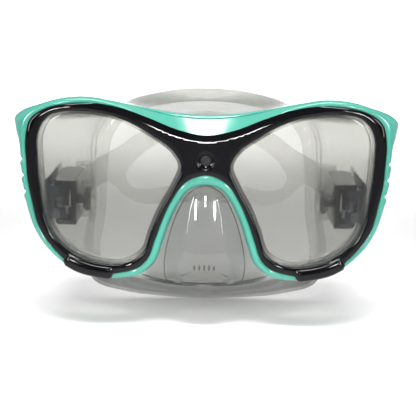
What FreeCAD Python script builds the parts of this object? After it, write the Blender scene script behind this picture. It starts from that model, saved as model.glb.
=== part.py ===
import FreeCAD, Part
import math
import os

from FreeCAD import Placement, Rotation, Vector

# Twin-lens diving mask.  Millimetres, +Z up, the mask looks along -Y.
# Origin: centre of the face opening, on the seal plane.

os.makedirs("parts", exist_ok=True)
doc = FreeCAD.newDocument("DivingMask")
sheet = doc.addObject("Spreadsheet::Sheet", "Sizes")

SIZES = [
    ("frame_height", 13.0, "frame middle above the face opening centre"),
    ("bezel_front", 57.0, "bezel front plane, ahead of the seal plane"),
    ("bezel_back", 49.0, "bezel back plane, on the frame ledge"),
    ("tab_front", 58.0, "front of the two raised lower tabs"),
    ("lens_front", 55.5, "lens front plane, behind the bezel lip"),
    ("lens_thick", 3.8, "glass thickness"),
    ("lens_rim", 1.7, "glass hidden behind the bezel lip"),
    ("seat_rim", 1.8, "lens seat beyond the opening"),
    ("frame_front", 55.5, "frame front plane"),
    ("frame_back", 45.0, "frame back plane"),
    ("wing_depth", 7.0, "sweep of the top corners behind the frame"),
    ("skirt_front", 45.0, "front web of the skirt"),
    ("skirt_wall", 2.0, "skirt wall"),
    ("skirt_waist", 22.0, "waist section of the skirt"),
    ("seal_width", 9.0, "width of the face seal"),
    ("seal_thick", 3.0, "thickness of the face seal"),
    ("pocket_front", 56.5, "front of the nose pocket"),
    ("post_ahead", 16.0, "buckle post, ahead of the seal plane"),
    ("post_height", 2.0, "buckle post above the origin"),
    ("lug_face", 62.0, "outer face of the buckle lug, from the middle"),
    ("lug_radius", 9.0, "buckle lug"),
    ("post_radius", 2.5, "swivel post"),
    ("swivel_gap", 0.06, "running clearance on pins and posts"),
    ("strap_rise", 6.0, "strap angle at rest"),
    ("strap_width", 16.0, "side band of the strap"),
    ("strap_thick", 2.2, "strap thickness"),
    ("pad_height", 60.0, "split pad at the back"),
    ("roller_out", 68.0, "roller axis, from the middle"),
    ("roller_behind", 18.0, "roller axis behind the post"),
    ("roller_radius", 3.2, "ribbed roller"),
    ("pin_radius", 1.2, "roller pin and lever pin"),
    ("lever_out", 71.0, "lever pin, from the middle"),
    ("lever_ahead", 6.0, "lever pin ahead of the post"),
    ("cheek_inside", 8.5, "half the room between the cheeks"),
    ("cheek_thick", 2.5, "buckle cheek"),
    ("cover_half", 13.0, "half the height of the lever cover"),
]
for row, (alias, value, note) in enumerate(SIZES, start=1):
    sheet.set("A%d" % row, alias)
    sheet.set("B%d" % row, str(value))
    sheet.set("C%d" % row, note)
    sheet.setAlias("B%d" % row, alias)
doc.recompute()
size = {alias: value for alias, value, note in SIZES}

# Outlines as seen from the front: right half, X and height from the frame middle.
LENS = [(73.5, -2), (74.5, 12), (74, 24), (69, 31.5), (58, 33.7), (44.5, 32.5), (34, 29),
        (24, 23.5), (14.5, 16.5), (11, 10), (14.5, 0.5), (20, -9.5), (24, -19),
        (28, -29.5), (36, -34.5), (47, -34.5), (58, -31), (67, -23.5), (71.5, -14)]
BEZEL = [(0, 23.8), (12, 26), (26, 31.4), (38, 35.4), (51, 37.3), (66, 36), (74, 33),
         (78.6, 27.5), (79.8, 19), (79.2, 5), (77.2, -7), (74.5, -18), (68, -28),
         (57.5, -37), (44.5, -39.8), (37, -38.4), (30, -36.3), (25.5, -32), (22.5, -24),
         (19.5, -15.5), (15.5, -6.5), (10, 2), (0, 6)]
FRAME = [(0, 32.4), (15, 33.6), (30, 36), (45, 39), (56, 40.2), (68, 38.4), (78, 34.8),
         (83.2, 30.6), (83.4, 26.6), (82, 20), (81, 4), (79, -12), (75, -22.5),
         (68, -31), (57.6, -37.6), (47, -40.8), (37, -41.6), (29.5, -39.8), (23.5, -35),
         (20, -28), (17.3, -18.5), (14, -10.5), (9, -2.6), (0, 1)]
WING = [(58, 39.2), (70, 37), (78.6, 33.8), (82.6, 30.4), (82.4, 26.6), (80.6, 20),
        (78.6, 24), (74.6, 30.4), (66, 34.8)]
TAB = [(42, -36.3), (50, -35.6), (57, -33.2), (62.2, -29.6), (65.4, -31.6), (58.2, -38),
       (50, -40.9), (42.4, -41.6)]

# Skirt sections, each from the top middle down to the bottom middle.
SKIRT_WEB = [(0, 29), (28, 32), (57, 34.2), (72.8, 26), (76, 6), (72, -20), (57, -35),
             (38, -41), (20, -46), (0, -47.5)]
SKIRT_WAIST = [(0, 33), (26, 36), (44, 34), (55, 23), (57, 4), (56.5, -18), (55, -38),
               (40, -52), (20, -56), (0, -57)]
SKIRT_SEAL = [(0, 46.2), (24, 44), (44, 37), (55, 24), (58.8, 6), (58.8, -18),
              (57.4, -44), (43, -60.5), (21, -64.2), (0, -65.5)]
POCKET_BACK = [(0, 0.2), (7.5, -3.2), (12.6, -11.5), (15.6, -19.5), (18, -29),
               (19, -38), (17.5, -45), (0, -47)]
POCKET_TIP = [(0, -9), (4.5, -11), (7.5, -17), (9.8, -24), (12, -31), (13.2, -38),
              (11.5, -43.5), (0, -45)]


def both_halves(half):
    """Close a right-half outline that starts and ends on the middle."""
    return half + [(-x, z) for x, z in reversed(half[1:-1])]


def mirrored(outline):
    return [(-x, z) for x, z in outline]


def grown(outline, distance):
    """Move each point of a closed outline outward along its own normal."""
    area = 0.0
    count = len(outline)
    for i, (x, z) in enumerate(outline):
        nx, nz = outline[(i + 1) % count]
        area += x * nz - nx * z
    side = 1.0 if area > 0 else -1.0
    result = []
    for i, (x, z) in enumerate(outline):
        before = outline[i - 1]
        after = outline[(i + 1) % count]
        run = after[0] - before[0]
        rise = after[1] - before[1]
        length = math.hypot(run, rise)
        result.append((x + side * distance * rise / length,
                       z - side * distance * run / length))
    return result


def lifted(outline):
    return [(x, z + size["frame_height"]) for x, z in outline]


def plane_of(body, role):
    return [part for part in body.Origin.OriginFeatures if part.Role == role][0]


def new_body(label):
    body = doc.addObject("PartDesign::Body", label)
    body.Label = label
    return body


def new_sketch(body, name, role, offset):
    sketch = body.newObject("Sketcher::SketchObject", name)
    sketch.AttachmentSupport = (plane_of(body, role), [""])
    sketch.MapMode = "FlatFace"
    sketch.setExpression("AttachmentOffset.Base.z", offset)
    return sketch


def add_spline(sketch, outline):
    curve = Part.BSplineCurve()
    curve.interpolate(Points=[Vector(x, z, 0) for x, z in outline], PeriodicFlag=True)
    sketch.addGeometry(curve, False)


def add_polygon(sketch, outline):
    count = len(outline)
    for i in range(count):
        start = Vector(outline[i][0], outline[i][1], 0)
        end = Vector(outline[(i + 1) % count][0], outline[(i + 1) % count][1], 0)
        sketch.addGeometry(Part.LineSegment(start, end), False)


def add_circle(sketch, x, y, radius):
    sketch.addGeometry(Part.Circle(Vector(x, y, 0), Vector(0, 0, 1), radius), False)


def pad(body, sketch, length, name="Pad", reverse=False, middle=False):
    feature = body.newObject("PartDesign::Pad", name)
    feature.Profile = sketch
    feature.setExpression("Length", length)
    feature.Reversed = reverse
    feature.Midplane = middle
    doc.recompute()
    return feature


def pocket(body, sketch, length, name="Pocket", reverse=False, middle=False):
    feature = body.newObject("PartDesign::Pocket", name)
    feature.Profile = sketch
    feature.setExpression("Length", length)
    feature.Reversed = reverse
    feature.Midplane = middle
    doc.recompute()
    return feature


def loft(body, kind, sketches, name):
    feature = body.newObject("PartDesign::" + kind, name)
    feature.Profile = sketches[0]
    feature.Sections = sketches[1:]
    doc.recompute()
    return feature


def round_edges(body, chosen, radius, name):
    """Fillet the edges of the body's tip that the test function picks."""
    tip = body.Tip
    names = ["Edge%d" % (i + 1) for i, edge in enumerate(tip.Shape.Edges) if chosen(edge)]
    feature = body.newObject("PartDesign::Fillet", name)
    feature.Base = (tip, names)
    feature.Radius = radius
    doc.recompute()
    return feature


def lies_at_y(y):
    def test(edge):
        box = edge.BoundBox
        return abs(box.YMin - y) < 0.01 and abs(box.YMax - y) < 0.01
    return test


def profile(body, name, outline, offset, role="XZ_Plane"):
    sketch = new_sketch(body, name, role, offset)
    add_spline(sketch, outline)
    return sketch


# ---- frame
frame = new_body("frame")
shape = profile(frame, "FrameOutline", lifted(both_halves(FRAME)), "Sizes.frame_back")
pad(frame, shape, "Sizes.frame_front - Sizes.frame_back", "FrameRing")
wings = new_sketch(frame, "WingOutline", "XZ_Plane", "Sizes.frame_back")
add_spline(wings, lifted(WING))
add_spline(wings, lifted(mirrored(WING)))
pad(frame, wings, "Sizes.wing_depth", "Wings", reverse=True)
round_edges(frame, lies_at_y(-size["frame_front"]), 1.2, "FrameRound")
seat = profile(frame, "BezelSeat", grown(lifted(both_halves(BEZEL)), 0.1),
               "Sizes.frame_front + 0.5")
pocket(frame, seat, "Sizes.frame_front + 0.5 - Sizes.bezel_back", "BezelPocket")
eyes = new_sketch(frame, "EyeHoles", "XZ_Plane", "Sizes.frame_front")
add_spline(eyes, grown(lifted(LENS), 1.6))
add_spline(eyes, grown(lifted(mirrored(LENS)), 1.6))
pocket(frame, eyes, "Sizes.frame_front - Sizes.frame_back + 8", "EyePockets")

# ---- bezel
bezel = new_body("bezel")
shape = profile(bezel, "BezelOutline", lifted(both_halves(BEZEL)), "Sizes.bezel_back")
pad(bezel, shape, "Sizes.bezel_front - Sizes.bezel_back", "BezelPlate")
STUD_HEIGHT = 12.7 + size["frame_height"]
recess = new_sketch(bezel, "StudRecess", "XZ_Plane", "Sizes.bezel_front + 1")
add_circle(recess, 0, STUD_HEIGHT, 3.6)
pocket(bezel, recess, "2", "StudRecessCut")
bore = new_sketch(bezel, "StudBore", "XZ_Plane", "Sizes.bezel_front")
add_circle(bore, 0, STUD_HEIGHT, 1.5)
pocket(bezel, bore, "Sizes.bezel_front - Sizes.bezel_back", "StudBoreCut")
tabs = new_sketch(bezel, "TabOutline", "XZ_Plane", "Sizes.frame_front + 0.05")
add_polygon(tabs, lifted(TAB))
add_polygon(tabs, lifted(mirrored(TAB)))
pad(bezel, tabs, "Sizes.tab_front - Sizes.frame_front - 0.05", "Tabs")
openings = new_sketch(bezel, "Openings", "XZ_Plane", "Sizes.bezel_front + 2")
add_spline(openings, lifted(LENS))
add_spline(openings, lifted(mirrored(LENS)))
pocket(bezel, openings, "Sizes.bezel_front + 4 - Sizes.bezel_back", "OpeningCut")
seats = new_sketch(bezel, "LensSeats", "XZ_Plane", "Sizes.lens_front")
add_spline(seats, grown(lifted(LENS), size["seat_rim"]))
add_spline(seats, grown(lifted(mirrored(LENS)), size["seat_rim"]))
pocket(bezel, seats, "Sizes.lens_front - Sizes.bezel_back + 1", "SeatCut")
# ---- bridge stud
stud = new_body("bridge_stud")
head = new_sketch(stud, "HeadOutline", "XZ_Plane", "Sizes.bezel_front - 1")
add_circle(head, 0, STUD_HEIGHT, 2.2)
pad(stud, head, "0.9", "Head")
stem = new_sketch(stud, "StemOutline", "XZ_Plane", "Sizes.bezel_back")
add_circle(stem, 0, STUD_HEIGHT, 1.45)
pad(stud, stem, "Sizes.bezel_front - 0.9 - Sizes.bezel_back", "Stem")

# ---- lenses
lens_bodies = {}
for side, outline in (("right", LENS), ("left", mirrored(LENS))):
    lens = new_body(side + "_lens")
    shape = profile(lens, side.title() + "LensOutline", grown(lifted(outline), size["lens_rim"]),
                    "Sizes.lens_front - Sizes.lens_thick")
    pad(lens, shape, "Sizes.lens_thick", side.title() + "Glass")
    lens_bodies[side] = lens

# ---- skirt
skirt = new_body("skirt")
outer = [profile(skirt, "SkirtOuter%d" % i, lifted(both_halves(half)), offset)
         for i, (half, offset) in enumerate((
             (SKIRT_WEB, "Sizes.skirt_front"),
             (SKIRT_WAIST, "Sizes.skirt_waist"),
             (SKIRT_SEAL, "0")))]
loft(skirt, "AdditiveLoft", outer, "Chamber")
pocket_out = [profile(skirt, "PocketOuter%d" % i, lifted(both_halves(half)), offset)
              for i, (half, offset) in enumerate((
                  (POCKET_BACK, "Sizes.skirt_front - 1"),
                  (POCKET_TIP, "Sizes.pocket_front")))]
loft(skirt, "AdditiveLoft", pocket_out, "NosePocket")
rings = new_sketch(skirt, "EyeTubes", "XZ_Plane", "Sizes.skirt_front - 1")
add_spline(rings, grown(lifted(LENS), 1.5))
add_spline(rings, grown(lifted(mirrored(LENS)), 1.5))
pad(skirt, rings, "Sizes.lens_front - Sizes.lens_thick - Sizes.skirt_front + 1", "EyeTubePads")
for side, sense in (("Right", 1), ("Left", -1)):
    lug = new_sketch(skirt, side + "LugOutline", "YZ_Plane", "%d * 52" % sense)
    add_circle(lug, -size["post_ahead"], size["post_height"], size["lug_radius"])
    pad(skirt, lug, "Sizes.lug_face - 52", side + "Lug", reverse=sense < 0)
inner = [profile(skirt, "SkirtInner%d" % i,
                 grown(lifted(both_halves(half)), -size["skirt_wall"]), offset)
         for i, (half, offset) in enumerate((
             (SKIRT_WEB, "Sizes.skirt_front - Sizes.skirt_wall"),
             (SKIRT_WAIST, "Sizes.skirt_waist"),
             (SKIRT_SEAL, "Sizes.seal_thick")))]
loft(skirt, "SubtractiveLoft", inner, "Cavity")
pocket_in = [profile(skirt, "PocketInner%d" % i,
                     grown(lifted(both_halves(half)), -size["skirt_wall"]), offset)
             for i, (half, offset) in enumerate((
                 (POCKET_BACK, "Sizes.skirt_front - Sizes.skirt_wall - 1"),
                 (POCKET_TIP, "Sizes.pocket_front - Sizes.skirt_wall")))]
loft(skirt, "SubtractiveLoft", pocket_in, "PocketCavity")
holes = new_sketch(skirt, "EyeOpenings", "XZ_Plane", "Sizes.lens_front")
add_spline(holes, grown(lifted(LENS), -1.2))
add_spline(holes, grown(lifted(mirrored(LENS)), -1.2))
pocket(skirt, holes, "Sizes.lens_front - Sizes.skirt_front + Sizes.skirt_wall + 1", "EyeCut")
face = profile(skirt, "FaceOpening",
               grown(lifted(both_halves(SKIRT_SEAL)), -size["seal_width"]),
               "Sizes.seal_thick + 2")
pocket(skirt, face, "Sizes.seal_thick + 3", "FaceCut")
for side, sense in (("Right", 1), ("Left", -1)):
    stem = new_sketch(skirt, side + "PostHole", "YZ_Plane", "%d * Sizes.lug_face" % sense)
    add_circle(stem, -size["post_ahead"], size["post_height"], size["post_radius"] + 0.02)
    pocket(skirt, stem, "4", side + "PostCut", reverse=sense < 0)
    flange = new_sketch(skirt, side + "FlangeHole", "YZ_Plane", "%d * 59.3" % sense)
    add_circle(flange, -size["post_ahead"], size["post_height"], 6.02)
    pocket(skirt, flange, "1.6", side + "FlangeCut", reverse=sense < 0)

# ---- parts that swing about the buckle posts: built about the post axis, then turned
swinging = []


def swing_body(label):
    body = new_body(label)
    swinging.append(body)
    return body


def cylinder_on(body, name, role, offset, x, y, radius, length, reverse=False):
    sketch = new_sketch(body, name + "Outline", role, offset)
    add_circle(sketch, x, y, radius)
    return pad(body, sketch, length, name, reverse=reverse)


def cut_circle(body, name, role, offset, x, y, radius, length, reverse=False):
    sketch = new_sketch(body, name + "Outline", role, offset)
    add_circle(sketch, x, y, radius)
    return pocket(body, sketch, length, name, reverse=reverse)


def buckle(side, sense):
    """One buckle; sense is +1 on the right and -1 on the left."""
    back = sense < 0
    tag = side.title()
    gap = size["swivel_gap"]
    roller_x = sense * size["roller_out"]
    roller_y = size["roller_behind"]
    lever_x = sense * size["lever_out"]
    lever_y = -size["lever_ahead"]
    total = 2 * (size["cheek_inside"] + size["cheek_thick"])

    body = swing_body(side + "_buckle_body")
    cheek = new_sketch(body, tag + "CheekOutline", "XY_Plane", "0")
    corners = [(62.6, -10), (72, -10), (73.4, -7), (74.2, 0), (74.2, 20), (71.5, 23),
               (65, 23), (62.6, 20)]
    add_polygon(cheek, [(sense * x, y) for x, y in corners])
    pad(body, cheek, "2 * (Sizes.cheek_inside + Sizes.cheek_thick)", tag + "Block", middle=True)
    room = new_sketch(body, tag + "RoomOutline", "XY_Plane", "0")
    add_polygon(room, [(sense * x, y) for x, y in
                       [(65.0, -12), (76, -12), (76, 25), (60, 25), (60, 10.5), (65.0, 10.5)]])
    pocket(body, room, "2 * Sizes.cheek_inside", tag + "Room", middle=True)
    round_edges(body, lambda e: abs(abs(e.BoundBox.ZMin) - total / 2) < 0.01
                and abs(e.BoundBox.ZMax - e.BoundBox.ZMin) < 0.01, 0.8, tag + "BodyRound")
    cut_circle(body, tag + "PostBore", "YZ_Plane", "%d * 60" % sense, 0, 0,
               size["post_radius"] + gap, "8", reverse=not back)
    for name, x, y in (("RollerBore", roller_x, roller_y), ("LeverBore", lever_x, lever_y)):
        cut_circle(body, tag + name, "XY_Plane", "%f" % (total / 2 + 1), x, y,
                   size["pin_radius"], "%f" % (total + 2))

    roller = swing_body(side + "_roller")
    teeth = new_sketch(roller, tag + "RollerOutline", "XY_Plane", "0")
    ribs = 14
    ring = []
    for i in range(2 * ribs):
        radius = size["roller_radius"] - (0.5 if i % 2 else 0.0)
        angle = math.pi * i / ribs
        ring.append((roller_x + radius * math.cos(angle), roller_y + radius * math.sin(angle)))
    add_polygon(teeth, ring)
    pad(roller, teeth, "2 * Sizes.cheek_inside - 0.6", tag + "RollerRibs", middle=True)
    cut_circle(roller, tag + "RollerHole", "XY_Plane", "Sizes.cheek_inside + 1",
               roller_x, roller_y, size["pin_radius"] + gap, "2 * Sizes.cheek_inside + 2")

    for name, x, y in (("roller_pin", roller_x, roller_y), ("lever_pin", lever_x, lever_y)):
        pin = swing_body(side + "_" + name)
        outline = new_sketch(pin, tag + name.title() + "Outline", "XY_Plane", "0")
        add_circle(outline, x, y, size["pin_radius"])
        pad(pin, outline, "2 * (Sizes.cheek_inside + Sizes.cheek_thick)", tag + name.title(),
            middle=True)

    lever = swing_body(side + "_release_lever")
    dome = new_sketch(lever, tag + "CoverOutline", "XZ_Plane", "-25")
    half = size["cover_half"]
    arch = [(75.3, half), (76.2, half - 0.2), (78.2, half - 3.6), (79.3, 5), (79.6, 0)]
    rim = [(x, -z) for x, z in arch[:-1]] + [(x, z) for x, z in reversed(arch)]
    add_polygon(dome, [(sense * x, z) for x, z in rim])
    pad(lever, dome, "38.6", tag + "Cover")
    trim = new_sketch(lever, tag + "TrimOutline", "XY_Plane", "0")
    add_polygon(trim, [(sense * x, y) for x, y in
                       [(76.2, -14), (77.8, -10.4), (79, -5), (79.7, 2), (79.7, 12), (78.8, 19),
                        (77.2, 23.4), (75.6, 25.2), (84, 26), (84, -15)]])
    pocket(lever, trim, "2 * Sizes.cover_half + 2", tag + "Trim", middle=True)
    cut = new_sketch(lever, tag + "GripOutline", "XY_Plane", "0")
    for y in (-10.5, -8, -5.5):
        add_polygon(cut, [(sense * 80, y), (sense * 78.2, y), (sense * 78.2, y + 0.9),
                          (sense * 80, y + 0.9)])
    pocket(lever, cut, "16", tag + "Grip", middle=True)
    arm = new_sketch(lever, tag + "ArmOutline", "XY_Plane", "0")
    add_polygon(arm, [(sense * x, y) for x, y in
                      [(75.6, -8.6), (71, -8.6), (68.6, -6), (71, -3.4), (75.6, -3.4)]])
    pad(lever, arm, "2 * Sizes.cheek_inside - 0.6", tag + "Arm", middle=True)
    slot = new_sketch(lever, tag + "SlotOutline", "XY_Plane", "0")
    add_circle(slot, lever_x, lever_y, 3.9)
    pocket(lever, slot, "6.4", tag + "SpringSlot", middle=True)
    pawl = new_sketch(lever, tag + "PawlOutline", "XY_Plane", "0")
    add_polygon(pawl, [(sense * x, y) for x, y in
                       [(75.6, 6.5), (69.5, 8.2), (67.6, 11.4), (70.6, 11.2), (75.6, 10.4)]])
    pad(lever, pawl, "12", tag + "Pawl", middle=True)
    cut_circle(lever, tag + "LeverHole", "XY_Plane", "Sizes.cheek_inside + 1",
               lever_x, lever_y, size["pin_radius"] + gap, "2 * Sizes.cheek_inside + 2")

    cap = new_body(side + "_swivel_cap")
    cylinder_on(cap, tag + "CapDisc", "YZ_Plane", "%d * 65.2" % sense, 0, 0, 5.0, "1.8",
                reverse=back)
    cut_circle(cap, tag + "CapBore", "YZ_Plane", "%d * 64" % sense, 0, 0,
               size["post_radius"], "4", reverse=not back)
    post = new_body(side + "_swivel_post")
    cylinder_on(post, tag + "PostFlange", "YZ_Plane", "%d * 57.7" % sense, 0, 0, 6.0, "1.6",
                reverse=back)
    cylinder_on(post, tag + "PostStem", "YZ_Plane", "%d * 58.5" % sense, 0, 0,
                size["post_radius"], "8.5", reverse=back)
    swinging.extend([cap, post])


buckle("right", 1)
buckle("left", -1)


# ---- lever springs: torsion coils round the lever pins, with one leg on the base plate
def spring(side, sense):
    turns = 4
    wire = 0.7
    pitch = 1.0
    radius = 2.1
    coil = Part.makeHelix(pitch, pitch * turns, radius)
    section = Part.Wire(Part.makeCircle(wire / 2, Vector(radius, 0, 0), Vector(0, 1, 0)))
    solid = Part.Wire(coil.Edges).makePipeShell([section], True, True)
    height = pitch * turns
    pieces = [solid,
              Part.makeCylinder(wire / 2, 6.0, Vector(radius, 0, 0), Vector(0, -1, 0)),
              Part.makeCylinder(wire / 2, 2.6, Vector(radius, 0, height), Vector(0, 1, 0))]
    placed = []
    for piece in pieces:
        piece.translate(Vector(0, 0, -height / 2))
        piece.rotate(Vector(), Vector(0, 0, 1), -90)
        if sense < 0:
            piece = piece.mirror(Vector(), Vector(1, 0, 0))
        piece.translate(Vector(sense * size["lever_out"], -size["lever_ahead"], 0))
        placed.append(piece)
    shape = placed[0].fuse(placed[1:])
    feature = doc.addObject("Part::Feature", side + "_lever_spring")
    feature.Label = side + "_lever_spring"
    feature.Shape = shape
    return feature


for side, sense in (("right", 1), ("left", -1)):
    swinging.append(spring(side, sense))


# ---- strap: a band along its plan curve, trimmed to its side outline
BAND = [(0, 103), (18, 101.6), (36, 95.5), (51, 83), (60, 65), (63.6, 45), (63.8, 32), (63.4, 22),
        (63.4, 18), (64.75, 14.75), (68, 13.4), (71.25, 14.75), (72.6, 18), (71.9, 24), (69.4, 31),
        (67.4, 37), (66.6, 42), (66.4, 48)]


def beside(line, distance):
    """Move each point of an open line sideways along its own normal."""
    result = []
    last = len(line) - 1
    for i, (x, y) in enumerate(line):
        before = line[max(i - 1, 0)]
        after = line[min(i + 1, last)]
        run = after[0] - before[0]
        rise = after[1] - before[1]
        length = math.hypot(run, rise)
        result.append((x - distance * rise / length, y + distance * run / length))
    return result


def open_spline(sketch, line):
    curve = Part.BSplineCurve()
    curve.interpolate([Vector(x, y, 0) for x, y in line])
    sketch.addGeometry(curve, False)


band = new_body("StrapBand")
whole = [(-x, y) for x, y in reversed(BAND[1:])] + BAND
faces = [beside(whole, side * size["strap_thick"] / 2) for side in (1, -1)]
plan = new_sketch(band, "StrapPlan", "XY_Plane", "0")
for line in faces:
    open_spline(plan, line)
for end in (0, -1):
    plan.addGeometry(Part.LineSegment(Vector(*faces[0][end], 0), Vector(*faces[1][end], 0)), False)
pad(band, plan, "Sizes.pad_height + 4", "StrapBandPad", middle=True)

side_body = new_body("StrapSide")
side_sketch = new_sketch(side_body, "StrapFaceOutline", "XZ_Plane", "-115")
half_band = size["strap_width"] / 2
PAD_RIGHT = [(0, 29), (14, 27.6), (28, 23.4), (42, 16.4), (52, 10), (58, half_band),
             (80, half_band), (80, -half_band), (58, -half_band - 0.4), (54, -13), (49, -20.6),
             (40, -27), (27, -28.8), (12, -28.4)]
add_polygon(side_sketch, PAD_RIGHT + [(0, -28)] + [(-x, z) for x, z in reversed(PAD_RIGHT[1:])])
pad(side_body, side_sketch, "120", "StrapSidePad")
hole_sketch = new_sketch(side_body, "StrapHole", "XZ_Plane", "-120")
HOLE_RIGHT = [(0, 16), (16, 14.6), (31, 9), (45, -1), (49, -8), (46, -15), (38, -18.4), (20, -17.4)]
add_spline(hole_sketch, HOLE_RIGHT + [(0, -17)] + [(-x, z) for x, z in reversed(HOLE_RIGHT[1:])])
pocket(side_body, hole_sketch, "70", "StrapHoleCut", reverse=True)
strap = doc.addObject("Part::MultiCommon", "strap")
strap.Label = "strap"
strap.Shapes = [band, side_body]
doc.recompute()
swinging.append(strap)

for side, sense in (("right", 1), ("left", -1)):
    keeper = swing_body(side + "_keeper")
    ring = new_sketch(keeper, side.title() + "KeeperOutline", "XY_Plane", "0")
    add_polygon(ring, [(sense * x, y) for x, y in
                       [(61.0, 37), (70.1, 37), (70.1, 43), (61.0, 43)]])
    pad(keeper, ring, "Sizes.strap_width + 3.6", side.title() + "KeeperBlock", middle=True)
    room = new_sketch(keeper, side.title() + "KeeperRoom", "XY_Plane", "0")
    add_polygon(room, [(sense * x, y) for x, y in
                       [(62.2, 36), (68.9, 36), (68.9, 44), (62.2, 44)]])
    pocket(keeper, room, "Sizes.strap_width + 0.6", side.title() + "KeeperCut", middle=True)

rest = Placement(Vector(0, -size["post_ahead"], size["post_height"]),
                 Rotation(Vector(1, 0, 0), size["strap_rise"]))
for part in swinging:
    part.Placement = rest
    part.setExpression("Placement.Base.y", "-Sizes.post_ahead")
    part.setExpression("Placement.Base.z", "Sizes.post_height")
doc.recompute()

# ---- check and write
nodes = [frame, bezel, stud, lens_bodies["right"], lens_bodies["left"], skirt] + swinging
for item in doc.Objects:
    if "Invalid" in item.State or "Error" in item.State:
        raise RuntimeError("failed: " + item.Label)
bad = []
for node in nodes:
    shape = node.Shape
    if not shape.isValid() or len(shape.Solids) != 1:
        bad.append("%s %d" % (node.Label, len(shape.Solids)))
        continue
    shape.exportStep("parts/%s.step" % node.Label)
    box = shape.BoundBox
    print("%-22s %9.1f  x %.1f..%.1f  y %.1f..%.1f  z %.1f..%.1f" % (
        node.Label, shape.Volume, box.XMin, box.XMax, box.YMin, box.YMax, box.ZMin, box.ZMax))
if bad:
    raise RuntimeError("bad solids: " + ", ".join(bad))
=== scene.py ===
import math

import bpy
from mathutils import Matrix, Vector
from mathutils.geometry import delaunay_2d_cdt
from mathutils.kdtree import KDTree


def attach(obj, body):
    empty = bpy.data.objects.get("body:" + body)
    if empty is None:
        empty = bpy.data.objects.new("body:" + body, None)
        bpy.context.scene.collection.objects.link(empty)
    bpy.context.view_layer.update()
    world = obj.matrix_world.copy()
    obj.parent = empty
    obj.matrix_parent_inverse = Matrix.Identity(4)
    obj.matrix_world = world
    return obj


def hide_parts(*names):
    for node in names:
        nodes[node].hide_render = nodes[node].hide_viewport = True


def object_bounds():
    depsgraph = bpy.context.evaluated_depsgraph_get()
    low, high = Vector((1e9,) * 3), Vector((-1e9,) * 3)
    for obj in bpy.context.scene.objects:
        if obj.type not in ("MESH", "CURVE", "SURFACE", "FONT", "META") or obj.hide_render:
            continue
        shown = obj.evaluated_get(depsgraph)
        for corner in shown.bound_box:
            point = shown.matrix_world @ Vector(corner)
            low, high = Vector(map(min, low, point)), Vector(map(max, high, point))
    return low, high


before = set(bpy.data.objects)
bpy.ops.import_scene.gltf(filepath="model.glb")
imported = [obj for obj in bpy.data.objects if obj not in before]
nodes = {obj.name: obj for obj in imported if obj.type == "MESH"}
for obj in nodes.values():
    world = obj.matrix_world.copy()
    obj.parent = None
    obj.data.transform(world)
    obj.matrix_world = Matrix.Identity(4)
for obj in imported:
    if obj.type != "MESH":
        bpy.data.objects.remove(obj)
cad_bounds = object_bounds()

MM = 0.001
MIDDLE = 13.0  # height of the frame middle above the origin, mm
FRAME_FRONT = -55.6  # y of the frame where it meets the bezel, mm
BEZEL_FRONT = -57.0
BEZEL_BACK = -49.0
LENS_FRONT = -55.5
LENS_SEAT = 1.8  # how far the lens goes under the bezel all round
STUD_UP = 12.7  # height of the bridge stud above the frame middle
WEB_FRONT = -44.9  # the skirt's web between the eye tubes
WEB_BACK = -43.2
STRAP_HALF = 0.72  # half the strap's thickness, inside its raised border
POST = (-16.0, 2.0)  # y and z of the buckle posts

# Half of the rim, right side, from the top middle down to the nose arch.  Each station:
# bezel edge X and height, frame edge X and height, frame front there, frame back there, shelf.
RIM = [
    (0, 23.8, 0, 32.4, -51.6, -45.0, 1.0),
    (12, 26.0, 14, 33.3, -51.7, -45.0, 1.0),
    (26, 31.4, 29, 35.8, -52.4, -45.0, 0.85),
    (38, 35.4, 41, 38.2, -53.8, -45.0, 0.3),
    (51, 37.3, 53, 40.0, -54.4, -45.0, 0.05),
    (62, 36.7, 64, 39.2, -54.2, -44.0, 0.0),
    (70, 34.9, 73.4, 36.7, -52.8, -41.5, 0.0),
    (75.6, 31.8, 82.2, 33.6, -50.4, -39.0, 0.0),
    (77.9, 29.2, 86.0, 30.6, -48.8, -38.2, 0.0),
    (79.2, 25.0, 85.8, 26.0, -49.6, -38.6, 0.0),
    (79.8, 19.0, 83.6, 19.6, -52.6, -42.0, 0.0),
    (79.5, 11.0, 82.6, 11.4, -54.4, -45.0, 0.0),
    (79.0, 3.0, 81.9, 3.0, -54.8, -45.0, 0.0),
    (77.2, -7.0, 80.2, -7.8, -54.8, -45.0, 0.0),
    (74.5, -18, 76.6, -19.4, -54.8, -45.0, 0.0),
    (68.0, -28, 69.8, -29.6, -54.8, -45.0, 0.0),
    (57.5, -37, 58.6, -38.0, -54.8, -45.0, 0.0),
    (48.0, -39.6, 48.2, -40.9, -54.8, -45.0, 0.0),
    (37.6, -38.7, 37.4, -41.6, -54.8, -45.0, 0.0),
    (30.0, -36.3, 28.8, -39.6, -54.8, -45.0, 0.0),
    (25.5, -32.0, 22.6, -34.0, -54.6, -45.0, 0.0),
    (22.5, -24.0, 19.2, -25.4, -54.4, -45.0, 0.0),
    (19.5, -15.5, 16.4, -17.0, -54.2, -45.0, 0.0),
    (15.5, -6.5, 12.6, -8.4, -54.2, -45.0, 0.0),
    (9.0, 2.6, 7.2, -1.0, -54.2, -45.0, 0.0),
    (0, 6.0, 0, 1.2, -54.2, -45.0, 0.0),
]
# Lens outline, right side: X and height above the frame middle.
LENS = [(73.5, -2), (74.5, 12), (74, 24), (69, 31.5), (58, 33.7), (44.5, 32.5), (34, 29),
        (24, 23.5), (14.5, 16.5), (11, 10), (14.5, 0.5), (20, -9.5), (24, -19),
        (28, -29.5), (36, -34.5), (47, -34.5), (58, -31), (67, -23.5), (71.5, -14)]


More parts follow.
